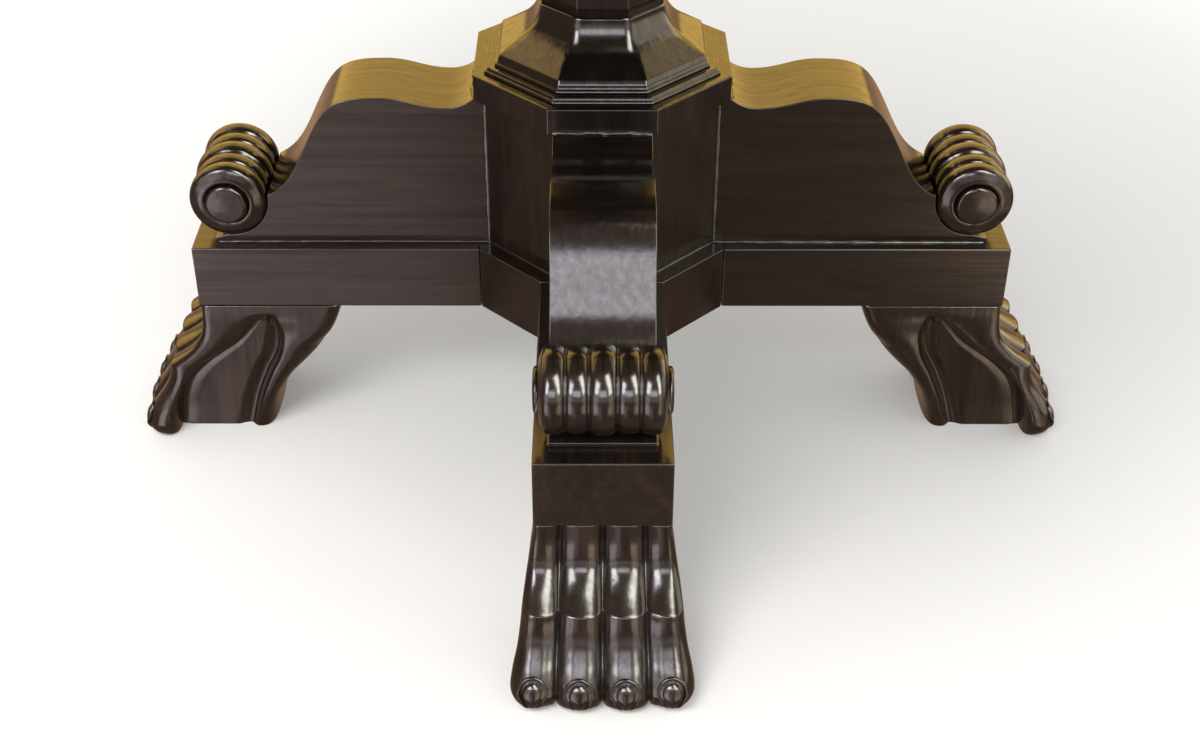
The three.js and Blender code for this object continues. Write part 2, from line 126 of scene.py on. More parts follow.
def creased(pieces, softness, samples=1500):
    """Smooth pieces that meet at corners, the corners rounded over about softness units."""
    curves = [(min(p)[0], max(p)[0], through(p)) for p in pieces]
    low, high = min(c[0] for c in curves), max(c[1] for c in curves)
    grid = np.linspace(low, high, samples)
    raw = np.zeros(samples)
    for a, b, curve in curves:
        inside = (grid >= a) & (grid <= b)
        raw[inside] = curve(grid[inside])
    step = grid[1] - grid[0]
    reach = max(1, int(3 * softness / step))
    kernel = np.exp(-0.5 * (np.arange(-reach, reach + 1) * step / softness) ** 2)
    left = 2 * raw[0] - raw[reach:0:-1]
    right = 2 * raw[-1] - raw[-2:-reach - 2:-1]
    smooth = np.convolve(np.concatenate([left, raw, right]), kernel / kernel.sum(), "valid")
    return lambda z: np.interp(z, grid, smooth)


def bezier(p0, p1, p2, p3, steps):
    """Points of a cubic curve after its first one."""
    result = []
    for n in range(1, steps + 1):
        t = n / steps
        a, b, c, d = (1 - t) ** 3, 3 * t * (1 - t) ** 2, 3 * t * t * (1 - t), t ** 3
        result.append(tuple(a * p0[k] + b * p1[k] + c * p2[k] + d * p3[k] for k in (0, 1)))
    return result


tone_count = [0]


def next_tone():
    """A different number for each piece, spread evenly and the same in each run."""
    tone_count[0] += 1
    return (tone_count[0] * GOLDEN_RATIO) % 1.0


def dress(obj, slot, nodes=(), grain="x", edge=None):
    """Gives a finished piece its attributes, material, body and CAD nodes."""
    mesh = obj.data
    count = len(mesh.vertices)
    co = np.empty(count * 3)
    mesh.vertices.foreach_get("co", co)
    co = co.reshape(-1, 3)
    order = {"x": (0, 1, 2), "y": (1, 2, 0), "z": (2, 0, 1)}[grain]
    layer = mesh.attributes.new("grain", "FLOAT_VECTOR", "POINT")
    layer.data.foreach_set("vector", co[:, order].ravel())
    layer = mesh.attributes.new("tone", "FLOAT", "POINT")
    layer.data.foreach_set("value", np.full(count, next_tone()))
    if "edge" not in mesh.attributes:
        layer = mesh.attributes.new("edge", "FLOAT", "POINT")
        layer.data.foreach_set("value", np.zeros(count) if edge is None else edge)
    mesh.materials.clear()
    mesh.materials.append(MATERIALS[slot])
    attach(obj, BODY)
    if nodes:
        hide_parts(*nodes)
    return obj


def link(name, mesh, angle=0.0):
    """A new object in the scene, turned to its arm's angle in degrees."""
    obj = bpy.data.objects.new(name, mesh)
    bpy.context.scene.collection.objects.link(obj)
    obj.rotation_euler.z = math.radians(angle)
    return obj


def mesh_from(name, verts, faces):
    """A mesh that is smooth apart from its end faces of five or more corners."""
    mesh = bpy.data.meshes.new(name)
    mesh.from_pydata([tuple(map(float, v)) for v in verts], [], faces)
    mesh.validate()
    for face in mesh.polygons:
        face.use_smooth = len(face.vertices) < 5
    return mesh


def ring_faces(rings, count, closed_column=False, caps=(True, True)):
    """Quads between rings of count points; the end rings close with one face each."""
    faces = []
    last = rings if closed_column else rings - 1
    for k in range(last):
        a, b = k * count, ((k + 1) % rings) * count
        for i in range(count):
            j = (i + 1) % count
            faces.append((a + i, a + j, b + j, b + i))
    if caps[0]:
        faces.append(tuple(reversed(range(count))))
    if caps[1]:
        faces.append(tuple(range((rings - 1) * count, rings * count)))
    return faces


def seam(start, end, wall, ledge, size, waves=1.0):
    """A thin fillet of filler along the corner from start to end. Wall and ledge point away
    from the corner along the two faces that it joins. Its width wavers a little."""
    start, end, wall, ledge = (Vector(v) for v in (start, end, wall, ledge))
    steps = max(6, int((end - start).length / (4 * MM)))
    section = [(1.0, 0.0)] + bezier((1, 0), (0.35, 0.0), (0.0, 0.35), (0, 1), 6)
    verts = []
    for n in range(steps + 1):
        t = n / steps
        far = (end - start).length * t / MM
        wide = size * (1 + waves * (0.16 * math.sin(far / 5.3 + 1) + 0.12 * math.sin(far / 2.1)))
        wide *= 0.35 + 0.65 * math.sin(math.pi * min(max(t, 0.03), 0.97)) ** 0.25
        corner = start.lerp(end, t)
        for up, out in section:
            verts.append(corner + wall * up * wide + ledge * out * wide)
        verts.append(corner - (wall + ledge) * 0.2 * MM)
    return verts, ring_faces(steps + 1, len(section) + 1)


def with_shapes(mesh, shapes):
    """The mesh with closed shapes of filler added to it, painted a little paler all over: partly
    rubbed filler, partly painted highlight.
    """
    bm = bmesh.new()
    bm.from_mesh(mesh)
    layer = bm.verts.layers.float["edge"]
    for verts, faces in shapes:
        made = [bm.verts.new(v) for v in verts]
        # Filler is painted a little paler: partly rubbed filler, partly painted highlight along the
        # seams.
        for v in made:
            v[layer] = FILLER_WEAR_AND_SHEEN
        new = [bm.faces.new([made[i] for i in face]) for face in faces]
        for f in new:
            f.smooth = True
        bmesh.ops.recalc_face_normals(bm, faces=new)
    bm.to_mesh(mesh)
    bm.free()
    return mesh


def soften_normals(obj):
    """Flat faces keep flat shading next to their rounded edges."""
    modifier = obj.modifiers.new("face_weighted_normals", "WEIGHTED_NORMAL")
    modifier.keep_sharp = True
    modifier.weight = 60
    return obj


def bevelled(bm, name, width, segments=3, limit=28):
    """Rounds the sharp edges of a bmesh and marks the middle of each rounding as a rubbed edge,
    which the wood paints paler: partly wear, partly painted highlight.
    """
    sharp = [e for e in bm.edges if len(e.link_faces) == 2
             and e.calc_face_angle(0) > math.radians(limit)]
    result = bmesh.ops.bevel(bm, geom=sharp, offset=width, segments=segments, profile=0.5,
                             affect="EDGES", clamp_overlap=True)
    rounded = set(result["faces"])
    mesh = bpy.data.meshes.new(name)
    bm.verts.index_update()
    edge = np.zeros(len(bm.verts))
    for v in bm.verts:
        if v.link_faces and all(f in rounded for f in v.link_faces):
            edge[v.index] = 1.0
    for f in bm.faces:
        f.smooth = True
    bm.to_mesh(mesh)
    bm.free()
    layer = mesh.attributes.new("edge", "FLOAT", "POINT")
    layer.data.foreach_set("value", edge)
    return mesh


def eased_copy(node, width, grain="x", angle=0.0, shapes=()):
    """The CAD node's own shape with eased edges, and any shapes of filler. Angle is that of the
    arm that the node lies on, so that the copy's own frame has the arm along X."""
    bm = bmesh.new()
    bm.from_mesh(frame["nodes"][node].data)
    bmesh.ops.transform(bm, matrix=Matrix.Rotation(math.radians(-angle), 4, "Z"), verts=bm.verts)
    bmesh.ops.remove_doubles(bm, verts=bm.verts, dist=1e-5)
    bmesh.ops.dissolve_limit(bm, angle_limit=math.radians(1.5), verts=bm.verts, edges=bm.edges)
    mesh = with_shapes(bevelled(bm, f"look_{node}", width), shapes)
    obj = link(f"look_{node}", mesh, angle)
    soften_normals(obj)
    return dress(obj, DARK, [node], grain)


# ---- materials -----------------------------------------------------------------------------
class Nodes:
    """Short hand for a material's node tree."""

    def __init__(self, name):
        self.material = bpy.data.materials.new(name)
        self.material.use_nodes = True
        self.tree = self.material.node_tree
        self.tree.nodes.clear()
        self.shader = self.add("ShaderNodeBsdfPrincipled")
        output = self.add("ShaderNodeOutputMaterial")
        self.join(self.shader.outputs[0], output.inputs[0])

    def add(self, kind, **settings):
        node = self.tree.nodes.new(kind)
        for key, value in settings.items():
            setattr(node, key, value)
        return node

    def join(self, source, target):
        self.tree.links.new(source, target)

    def attribute(self, name, output):
        return self.add("ShaderNodeAttribute", attribute_name=name).outputs[output]

    def math(self, operation, a, b):
        node = self.add("ShaderNodeMath", operation=operation)
        for socket, value in zip(node.inputs, (a, b)):
            if isinstance(value, (int, float)):
                socket.default_value = value
            else:
                self.join(value, socket)
        return node.outputs[0]

    def ramp(self, value, stops):
        """Maps 0..1 to grey or colour stops of (position, value)."""
        node = self.add("ShaderNodeValToRGB")
        ramp = node.color_ramp
        while len(ramp.elements) < len(stops):
            ramp.elements.new(0.5)
        for element, (position, colour) in zip(ramp.elements, stops):
            element.position = position
            colour = (colour,) * 3 if isinstance(colour, (int, float)) else colour
            element.color = (*colour, 1)
        self.join(value, node.inputs[0])
        return node.outputs[0]

    def mix(self, factor, a, b, blend="MIX"):
        node = self.add("ShaderNodeMix", data_type="RGBA", blend_type=blend)
        for socket, value in zip((node.inputs[0], node.inputs[6], node.inputs[7]), (factor, a, b)):
            if isinstance(value, (int, float)):
                socket.default_value = value
            elif isinstance(value, tuple):
                socket.default_value = (*value, 1)
            else:
                self.join(value, socket)
        return node.outputs[2]

    def noise(self, vector, scale, stretch=(1, 1, 1), detail=4.0, roughness=0.55, distortion=0.0):
        mapping = self.add("ShaderNodeMapping")
        mapping.inputs["Scale"].default_value = stretch
        self.join(vector, mapping.inputs[0])
        node = self.add("ShaderNodeTexNoise")
        node.inputs["Scale"].default_value = scale
        node.inputs["Detail"].default_value = detail
        node.inputs["Roughness"].default_value = roughness
        node.inputs["Distortion"].default_value = distortion
        self.join(mapping.outputs[0], node.inputs["Vector"])
        return node.outputs[0]

    def grain_point(self):
        """The grain attribute, moved to a different part of the wood for each piece."""
        shift = self.math("MULTIPLY", self.attribute("tone", "Fac"), 7.3)
        offset = self.add("ShaderNodeCombineXYZ")
        for socket in offset.inputs:
            self.join(shift, socket)
        node = self.add("ShaderNodeVectorMath", operation="ADD")
        self.join(self.attribute("grain", "Vector"), node.inputs[0])
        self.join(offset.outputs[0], node.inputs[1])
        return node.outputs[0]

    def bump(self, height, strength, distance, under=None):
        node = self.add("ShaderNodeBump")
        node.inputs["Strength"].default_value = strength
        node.inputs["Distance"].default_value = distance
        self.join(height, node.inputs["Height"])
        if under is not None:
            self.join(under, node.inputs["Normal"])
        return node.outputs[0]


def ebonised_wood():
    """Hardwood under a dark espresso stain, brushed along the grain, and rubbed satin lacquer."""
    n = Nodes(DARK)
    point = n.grain_point()
    figure = n.noise(point, 1.0, (5, 42, 42), 5.0, 0.6, 0.4)
    fibre = n.noise(point, 1.0, (24, 640, 640), 4.0, 0.62)
    brush = n.noise(point, 1.0, (9, 210, 210), 3.0, 0.5)
    cloud = n.noise(point, 9.0, (1, 1, 1), 3.0, 0.5)
    stain = n.ramp(figure, [(0.3, (0.0075, 0.0055, 0.0045)), (0.55, (0.014, 0.0095, 0.0073)),
                            (0.8, (0.03, 0.018, 0.0115))])
    fibres = n.ramp(fibre, [(0.35, 0.55), (0.62, 1.35)])
    colour = n.mix(0.75, stain, fibres, "MULTIPLY")
    # Edges are painted paler and browner: partly wear through the stain, partly a painted highlight
    # on edges and corners.
    edge = n.attribute("edge", "Fac")
    broken = n.ramp(cloud, [(0.42, 0.0), (0.66, 1.0)])
    rub_and_sheen = n.math("MULTIPLY", edge, n.math("ADD", n.math("MULTIPLY", broken, 0.75), 0.25))
    colour = n.mix(n.math("MULTIPLY", rub_and_sheen, 0.6), colour, (0.085, 0.047, 0.027))
    n.join(colour, n.shader.inputs["Base Color"])
    gloss = n.math("ADD", n.math("MULTIPLY", brush, 0.12), n.math("MULTIPLY", cloud, 0.03))
    n.join(n.math("ADD", gloss, 0.105), n.shader.inputs["Roughness"])
    n.shader.inputs["IOR"].default_value = 1.52
    streak = n.noise(point, 1.0, (3.5, 150, 150), 4.0, 0.62)
    n.join(n.ramp(streak, [(0.3, 0.4), (0.7, 0.64)]), n.shader.inputs["Specular IOR Level"])
    n.join(n.ramp(streak, [(0.3, 0.26), (0.7, 0.46)]), n.shader.inputs["Coat Weight"])
    n.shader.inputs["Coat Roughness"].default_value = 0.16
    n.shader.inputs["Coat IOR"].default_value = 1.45
    wave = n.bump(cloud, 0.035, 0.001)
    fine = n.bump(brush, 0.26, 0.0003, wave)
    pores = n.bump(fibre, 0.13, 0.0001, fine)
    specks = n.add("ShaderNodeTexVoronoi", feature="F1")
    specks.inputs["Scale"].default_value = 46.0
    n.join(point, specks.inputs["Vector"])
    chosen = n.add("ShaderNodeSeparateColor")
    n.join(specks.outputs["Color"], chosen.inputs[0])
    nib = n.ramp(specks.outputs["Distance"], [(0.0, 1.0), (0.05, 0.0)])
    nib = n.math("MULTIPLY", nib, n.math("GREATER_THAN", chosen.outputs[0], 0.72))
    finish = n.bump(nib, 0.5, 0.0004, pores)
    n.join(finish, n.shader.inputs["Normal"])
    n.join(finish, n.shader.inputs["Coat Normal"])
    return n.material


def inner_wood():
    """Plain planed hardwood under the top and inside the joints."""
    n = Nodes(INNER)
    point = n.grain_point()
    figure = n.noise(point, 1.0, (4, 60, 60), 5.0, 0.6, 0.6)
    fibre = n.noise(point, 1.0, (30, 700, 700), 3.0, 0.6)
    colour = n.ramp(figure, [(0.3, (0.2, 0.115, 0.055)), (0.5, (0.29, 0.175, 0.09)),
                             (0.75, (0.38, 0.245, 0.135))])
    colour = n.mix(0.6, colour, n.ramp(fibre, [(0.35, 0.6), (0.65, 1.1)]), "MULTIPLY")
    n.join(colour, n.shader.inputs["Base Color"])
    n.join(n.math("ADD", n.math("MULTIPLY", fibre, 0.2), 0.5), n.shader.inputs["Roughness"])
    n.join(n.bump(fibre, 0.4, 0.0003), n.shader.inputs["Normal"])
    return n.material


def zinc_steel():
    """Zinc-plated steel of the tie rod, nuts, washers and screws."""
    n = Nodes(ZINC)
    coordinates = n.add("ShaderNodeTexCoord").outputs["Object"]
    spangle = n.noise(coordinates, 260.0, (1, 1, 1), 2.0)
    scratch = n.noise(coordinates, 1.0, (90, 90, 1600), 3.0)
    n.join(n.ramp(spangle, [(0.3, (0.5, 0.5, 0.49)), (0.7, (0.66, 0.66, 0.64))]),
           n.shader.inputs["Base Color"])
    n.shader.inputs["Metallic"].default_value = 1.0
    n.join(n.math("ADD", n.math("MULTIPLY", spangle, 0.25), 0.2), n.shader.inputs["Roughness"])
    n.join(n.bump(scratch, 0.3, 0.0002), n.shader.inputs["Normal"])
    return n.material


MATERIALS = {DARK: ebonised_wood(), INNER: inner_wood(), ZINC: zinc_steel()}


# ---- base ----------------------------------------------------------------------------------
def rails_and_hub():
    """Eased rails and hub, with filler along the four joints between hub and body."""
    for arm, angle in ARM_ANGLES.items():
        eased_copy(f"rail_{arm}", 1.6 * MM, angle=angle)
    shapes = []
    for turn in (45, 135, 225, 315):
        a = math.radians(turn)
        out, along = Vector((math.cos(a), math.sin(a), 0)), Vector((-math.sin(a), math.cos(a), 0))
        half = (BODY_APOTHEM - 1 * MM) * math.tan(math.pi / 8)
        middle = out * BODY_APOTHEM + Vector((0, 0, HUB_TOP))
        shapes.append(seam(middle - along * half, middle + along * half, (0, 0, 1), out, 2.4 * MM))
    eased_copy("hub_block", 1.6 * MM, shapes=shapes)


def bracket_outline(steps=26):
    """The bracket's side view: foot, tongue, seat under the roll, S-curve, and the short level
    stretch under the cap. X from the table's axis, Y above the rail, in millimetres."""
    inner = BRACKET_LOW.x / MM
    tongue = BRACKET_HIGH.x / MM
    foot = (BRACKET_LOW.z - RAIL_TOP) / MM
    top = (BRACKET_HIGH.z - RAIL_TOP) / MM - 0.1
    cx = ROLL_REACH / MM
    cz = (ROLL_Z - RAIL_TOP) / MM
    seat = ROLL_RADIUS / MM + GAP
    tip, tip_height = 3, 4.4
    start = math.asin(tip / seat) - math.pi / 2
    end = -math.pi * 1.04
    points = [(inner, foot), (tongue + tip, foot), (tongue + tip, foot + tip_height)]
    for n in range(steps + 1):
        angle = start + (end - start) * n / steps
        points.append((cx + seat * math.cos(angle), cz + seat * math.sin(angle)))
    curves = [((293, 60), (285, 82), (272, 108)), ((254, 144), (245, top), (205, top)),
              ((180, top), (168, 141), (143, 141)), ((130, 141), (122, 147), (inner + 10, top))]
    for a, b, c in curves:
        points += bezier(points[-1], a, b, c, steps)
    points.append((inner, top))
    return points


def bracket_seams():
    """Filler along the bracket's foot, up its joint with the body, and along the cap's edge."""
    inner, tongue = BRACKET_LOW.x, BRACKET_HIGH.x
    foot, top = RAIL_TOP, CAP_LOW.z
    shapes = [seam((CAP_HIGH.x, -HALF_BRACKET, top), (CAP_HIGH.x, HALF_BRACKET, top),
                   (0, 0, 1), (1, 0, 0), 3.5 * MM, 1.7)]
    for side in (-1, 1):
        y = side * HALF_BRACKET
        shapes.append(seam((inner, y, foot), (tongue, y, foot), (0, 0, 1), (0, side, 0), 2.4 * MM))
        slant = math.sqrt(0.5)
        shapes.append(seam((inner, y, foot), (inner, y, top), (1, 0, 0), (-slant, side * slant, 0),
                           2.2 * MM))
    return shapes


def run_over_the_curve(mesh):
    """Leads the grain of a bracket's upper face down along the face's curve."""
    for vertex, item in zip(mesh.vertices, mesh.attributes["grain"].data):
        x, y, z = vertex.co
        if abs(y) < HALF_BRACKET - 1.9 * MM:
            item.vector = (x - z, y, 0.0)


def brackets():
    """The four scroll brackets: the side view made as thick as the frame's bracket, eased."""
    outline = bracket_outline()
    count = len(outline)
    for arm, angle in ARM_ANGLES.items():
        bm = bmesh.new()
        sides = [[bm.verts.new((x * MM, y, RAIL_TOP + z * MM)) for x, z in outline]
                 for y in (-HALF_BRACKET, HALF_BRACKET)]
        bm.faces.new(sides[0])
        bm.faces.new(list(reversed(sides[1])))
        for i in range(count):
            j = (i + 1) % count
            bm.faces.new((sides[0][j], sides[0][i], sides[1][i], sides[1][j]))
        bmesh.ops.recalc_face_normals(bm, faces=bm.faces)
        name = f"look_bracket_{arm}"
        obj = link(name, with_shapes(bevelled(bm, name, 2.0 * MM, 4), bracket_seams()), angle)
        soften_normals(obj)
        dress(obj, DARK, [f"bracket_{arm}"])
        run_over_the_curve(obj.data)


def lathe(name, profile, sides, axis="z", centre=(0, 0, 0)):
    """A closed turning from (radius, height) points that start and end on the axis."""
    verts = []
    faces = []
    inner = profile[1:-1]
    for r, h in inner:
        for k in range(sides):
            a = 2 * math.pi * k / sides
            verts.append((r * math.cos(a), r * math.sin(a), h))
    faces += ring_faces(len(inner), sides, caps=(False, False))
    for end, ring, flip in ((profile[0], 0, True), (profile[-1], len(inner) - 1, False)):
        hub = len(verts)
        verts.append((0, 0, end[1]))
        for k in range(sides):
            a, b = ring * sides + k, ring * sides + (k + 1) % sides
            faces.append((hub, b, a) if flip else (hub, a, b))
    points = np.array(verts)
    if axis == "y":
        points = np.stack([points[:, 1], points[:, 2], points[:, 0]], 1)
    return mesh_from(name, points + np.array(centre), faces)


def roll_profile():
    """Half of the roll's outline, from the socket in its end to its middle, in millimetres:
    two and a half reeds with a fine fillet in each hollow between them. In its end are the
    socket for the button's stub and the seat for the button, inside a ring and a flat face."""
    half, radius = ROLL_HALF / MM, ROLL_RADIUS / MM
    socket, seat, ring, face = 12.3, 2.2, 20.7, 30.0
    first_reed, both_reeds, groove = 21.6, 40.2, 4.4
    profile = [(0, -half + seat + 7), (socket, -half + seat + 7), (socket, -half + seat)]
    profile += [(ring - 1.0, -half + seat), (ring - 0.3, -half + seat - 0.4),
                (ring, -half + 1.3)]
    profile += [(ring + 0.5, -half + 0.5), (ring + 1.5, -half + 0.1), (ring + 3.0, -half),
                (face - 3.0, -half + 0.8)]
    edges = [-half, -half + first_reed, -half + both_reeds, half - both_reeds]
    valley = radius - groove
    for n in range(3):
        low, high = edges[n], edges[n + 1]
        crown = radius - (0.9, 1.8, 0)[n]
        middle = (low + high) / 2
        for k in range(25):
            t = -1 + k / 12
            outer = n == 0 and t < 0
            drop = crown - face if outer else crown - valley
            power = 2.2 if outer else 2.0
            reach = (high - low) / 2 - (2.2 if outer else 1.1)
            fall = drop * (1 - (1 - abs(t) ** power) ** (1 / power))
            profile.append((crown - fall, middle + t * reach))
        if n < 2:
            for k in range(7):
                a = math.pi * k / 6
                profile.append((valley - 0.2 + 0.9 * math.sin(a), high - 0.8 * math.cos(a)))
    return [p for p in profile if p[1] < -1e-6]


def button_profile():
    """A button's outline from its stub to the middle of its dome, in millimetres."""
    outward, face, radius = ROLL_HALF / MM - 2.1, BUTTON_FACE / MM, 19.4
    stub, stub_length = 12, 6.4
    profile = [(0, outward - stub_length), (stub, outward - stub_length), (stub, outward),
               (radius - 0.4, outward), (radius, outward + 0.5), (radius, face - 3.2)]
    for k in range(13):
        a = math.pi / 2 * k / 12
        profile.append((radius - 3.6 + 3.6 * math.cos(a), face - 3.2 + 2.6 * math.sin(a)))
    for k in range(1, 9):
        t = k / 8
        profile.append(((radius - 3.6) * (1 - t), face - 0.6 + 0.6 * math.sin(math.pi / 2 * t)))
    return profile


def rolls_and_buttons():
    """A reeded roll across each bracket's end, with a domed button in each of its ends."""
    half = roll_profile()
    outline = [(r * MM, h * MM) for r, h in half + [(r, -h) for r, h in reversed(half)]]
    button = [(r * MM, h * MM) for r, h in button_profile()]
    centre = Vector((ROLL_REACH, 0, ROLL_Z))
    for arm, angle in ARM_ANGLES.items():
        name = f"look_scroll_roll_{arm}"
        roll = link(name, lathe(name, outline, 128, "y", centre), angle)
        dress(roll, DARK, [f"scroll_roll_{arm}"], "y")
        for side, way in (("a", -1), ("b", 1)):
            name = f"look_scroll_button_{arm}_{side}"
            mesh = lathe(name, button, 72, "y")
            if way < 0:
                mesh.transform(Matrix.Rotation(math.pi, 4, "Z"))
            mesh.transform(Matrix.Translation(centre))
            dress(link(name, mesh, angle), DARK, [f"scroll_button_{arm}_{side}"], "y")


# ---- paws ----------------------------------------------------------------------------------
# Functions of height, in millimetres, each through a few points of the carving: how far the
# toes reach, how wide they are, where the side hollow begins and ends, and the heel. Below them
# are the claws and the folds over them, all in a toe's own millimetres.
TOE_REACH = creased([[(147, 389.2), (126, 390.4), (115, 392.8), (107, 396.6), (100, 402.4),
                      (93, 410.6), (87, 419.4), (81, 429)],
                     [(81, 429), (72, 430.5), (60, 435), (46, 443.8), (34, 452.3), (24, 458.2),
                      (15, 460.3), (8, 458.6), (3, 455), (0, 450)]], 0.7)
TOE_HALF = through([(147, 57.2), (139, 57.4), (126, 59.3), (107, 62), (94, 64.5), (80, 67),
                    (66, 68.4), (50, 70.8), (30, 75.4), (16, 77.2), (7, 75.2), (2, 71), (0, 67)])
TOE_PITCH = through([(147, 34.8), (80, 36.5), (10, 39.0), (0, 39.0)])
TOE_DEPTH = through([(147, 9.5), (125, 12), (81, 14), (40, 14.5), (0, 13.5)])
OUTER_TOE_SET_BACK = 2.4
TOE_SHOULDER = through([(147, 9), (107, 10.5), (80, 13), (60, 13.5), (40, 16.5), (20, 20), (8, 18.5),
                        (0, 15)])
TOE_ROOT = through([(147, 326), (138, 329), (128, 336), (115, 347), (101, 360), (86, 381), (74, 397),
                    (55, 414), (34, 421.5), (15, 424.5), (0, 427)])
HEEL_EDGE = through([(147, 322), (138, 324), (128, 322), (113, 318), (95, 321), (65, 335),
                     (34, 347), (0, 356)])
HEEL_REACH = through([(147, 252), (115, 264), (92, 276), (76, 290), (64, 303), (50, 314), (38, 321),
                      (20, 327.5), (0, 331)])
HEEL_HALF = through([(147, 57.1), (120, 57.6), (90, 58.6), (50, 58.6), (20, 56.6), (0, 53.5)])
HOLLOW_HALF = through([(147, 54.5), (128, 53), (100, 51.2), (60, 49.8), (30, 49.6), (0, 50.2)])
CLAW_Z = 20.6
CLAW_TOP, CLAW_POINT = 10.4, 19.4
CLAW_HALF = (9.0, 9.6, 9.0, 9.6)
CLAW_DOME, CLAW_SUNK = 2.5, 0.6
FOLD_HALF, FOLD_TOP, FOLD_POINT = 12.0, 13.4, 19.6
FOLD_WIDE, FOLD_HIGH = 1.8, 2.1
SIDE = 57.1


def arc_span(count, power):
    """A quarter superellipse from (0, 0) to (1, 1): first across, then along."""
    a = np.pi / 2 * np.arange(1, count + 1) / count
    return 1 - np.cos(a) ** (2 / power), np.sin(a) ** (2 / power)


def toe_drop(t, z):
    """How far a toe's surface lies behind its crest, t half-widths to the side."""
    return float(TOE_DEPTH(z)) * (1 - (1 - np.abs(0.988 * t) ** 2.25) ** (1 / 2.25))


def half_ring(z):
    """One level of the paw's +Y half: two toes from the groove between them, the shoulder, the
    side hollow from its gully to its scoop, and the heel's ridge and back."""
    reach, half, pitch = float(TOE_REACH(z)), float(TOE_HALF(z)), float(TOE_PITCH(z))
    set_back = OUTER_TOE_SET_BACK * float(smoothstep(112, 60, z))
    t = np.linspace(-1, 1, 45)[:-1]
    xs, ys = [reach - toe_drop(t, z)], [pitch / 2 * (1 + t)]
    t = np.linspace(-1, 0, 23)
    xs.append(reach - set_back * smoothstep(-1, -0.6, t) - toe_drop(t, z))
    ys.append(pitch * (1.5 + t / 2))
    crest, middle = reach - set_back, 1.5 * pitch
    shoulder = float(TOE_SHOULDER(z))
    across, along = arc_span(18, 2.05 + 0.5 * float(smoothstep(60, 130, z)))
    xs.append(crest - shoulder * across)
    ys.append(middle + (half - middle) * along)
    gully_depth, scoop_depth, ridge_width = 1.6, 3.4, 8.0
    carve = float(smoothstep(138.5, 128, z))
    root, edge = float(TOE_ROOT(z)), float(HEEL_EDGE(z))
    hollow = SIDE + (float(HOLLOW_HALF(z)) - SIDE) * carve
    gully = hollow - gully_depth * carve
    across, along = arc_span(20, 2.0)
    xs.append(crest - shoulder - (crest - shoulder - root) * along)
    ys.append(half - (half - gully) * across)
    scoop = edge + min(13.0, 0.4 * (root - edge))
    s = np.linspace(0, 1, 11)[1:]
    xs.append(root + (scoop - root) * s)
    ys.append(gully + (hollow - gully) * smoothstep(0, 0.22, s))
    s = np.linspace(0, 1, 11)[1:]
    xs.append(scoop + (edge - scoop) * s)
    ys.append(hollow - scoop_depth * carve * np.sin(np.pi * s * 0.62) ** 1.2)
    ridge = SIDE + (float(HEEL_HALF(z)) - SIDE) * carve
    low = ys[-1][-1]
    s = np.linspace(0, 1, 9)[1:]
    xs.append(edge - ridge_width * s)
    ys.append(low + (ridge - low) * np.sin(np.pi / 2 * s) ** 1.1)
    back, start = float(HEEL_REACH(z)), edge - ridge_width
    across, along = arc_span(24, 3.0 + 9.0 * float(smoothstep(95, 140, z)))
    xs.append(start - (start - back) * along)
    ys.append(ridge * (1 - across))
    x, y = np.concatenate(xs), np.concatenate(ys)
    y[-1] = 0.0
    return x, y


def paw_levels():
    """Heights of the rings, closer together where the carving is fine."""
    spans = [(0, 5, 6), (5, 40, 16), (40, 76, 16), (76, 86, 16), (86, 104, 9), (104, 111, 9),
             (111, 124, 6), (124, 141, 12), (141, PAW_TOP / MM, 3)]
    levels = []
    for low, high, count in spans:
        levels += [low + (high - low) * k / count for k in range(count)]
    return levels + [PAW_TOP / MM]


def toe_surface(toe, u, v):
    """A point on the end of a toe: u across it and v above the claw's middle."""
    z = CLAW_Z + v
    pitch = float(TOE_PITCH(z))
    set_back = OUTER_TOE_SET_BACK if toe in (0, 3) else 0.0
    t = min(0.98, abs(u) / (pitch / 2))
    reach = float(TOE_REACH(z)) - set_back - float(toe_drop(t, z))
    return np.array([reach, pitch * (toe - 1.5) + u, z])


def toe_frame(toe, u, v):
    """Surface point and outward normal on the end of a toe."""
    step = 0.4
    du = toe_surface(toe, u + step, v) - toe_surface(toe, u - step, v)
    dv = toe_surface(toe, u, v + step) - toe_surface(toe, u, v - step)
    normal = np.cross(du, dv)
    return toe_surface(toe, u, v), normal / np.linalg.norm(normal)


def claw_outline(angle, half, top, point):
    """Outline of a claw: round at the top and pointed at the bottom."""
    u, v = math.sin(angle), math.cos(angle)
    if v >= 0:
        return half * u, top * v
    return half * u * (1 + 0.5 * v), point * v


def claw(toe, spin=40, rows=7):
    """A domed claw with a faint ridge down its middle, standing on the end of a toe."""
    half = CLAW_HALF[toe]
    verts, faces = [], []
    for j in range(rows + 1):
        rho = 1 - j / rows
        for i in range(spin):
            u, v = claw_outline(2 * math.pi * i / spin, half * rho, CLAW_TOP * rho, CLAW_POINT * rho)
            point, normal = toe_frame(toe, u, v)
            dome = CLAW_DOME * (1 - rho ** 4) ** 0.8 * (1 - 0.45 * abs(u) / half)
            verts.append(point + normal * (dome - CLAW_SUNK))
    for j in range(rows):
        for i in range(spin):
            k = (i + 1) % spin
            a, b = j * spin, (j + 1) * spin
            faces.append((a + i, b + i, b + k, a + k))
    return verts, faces


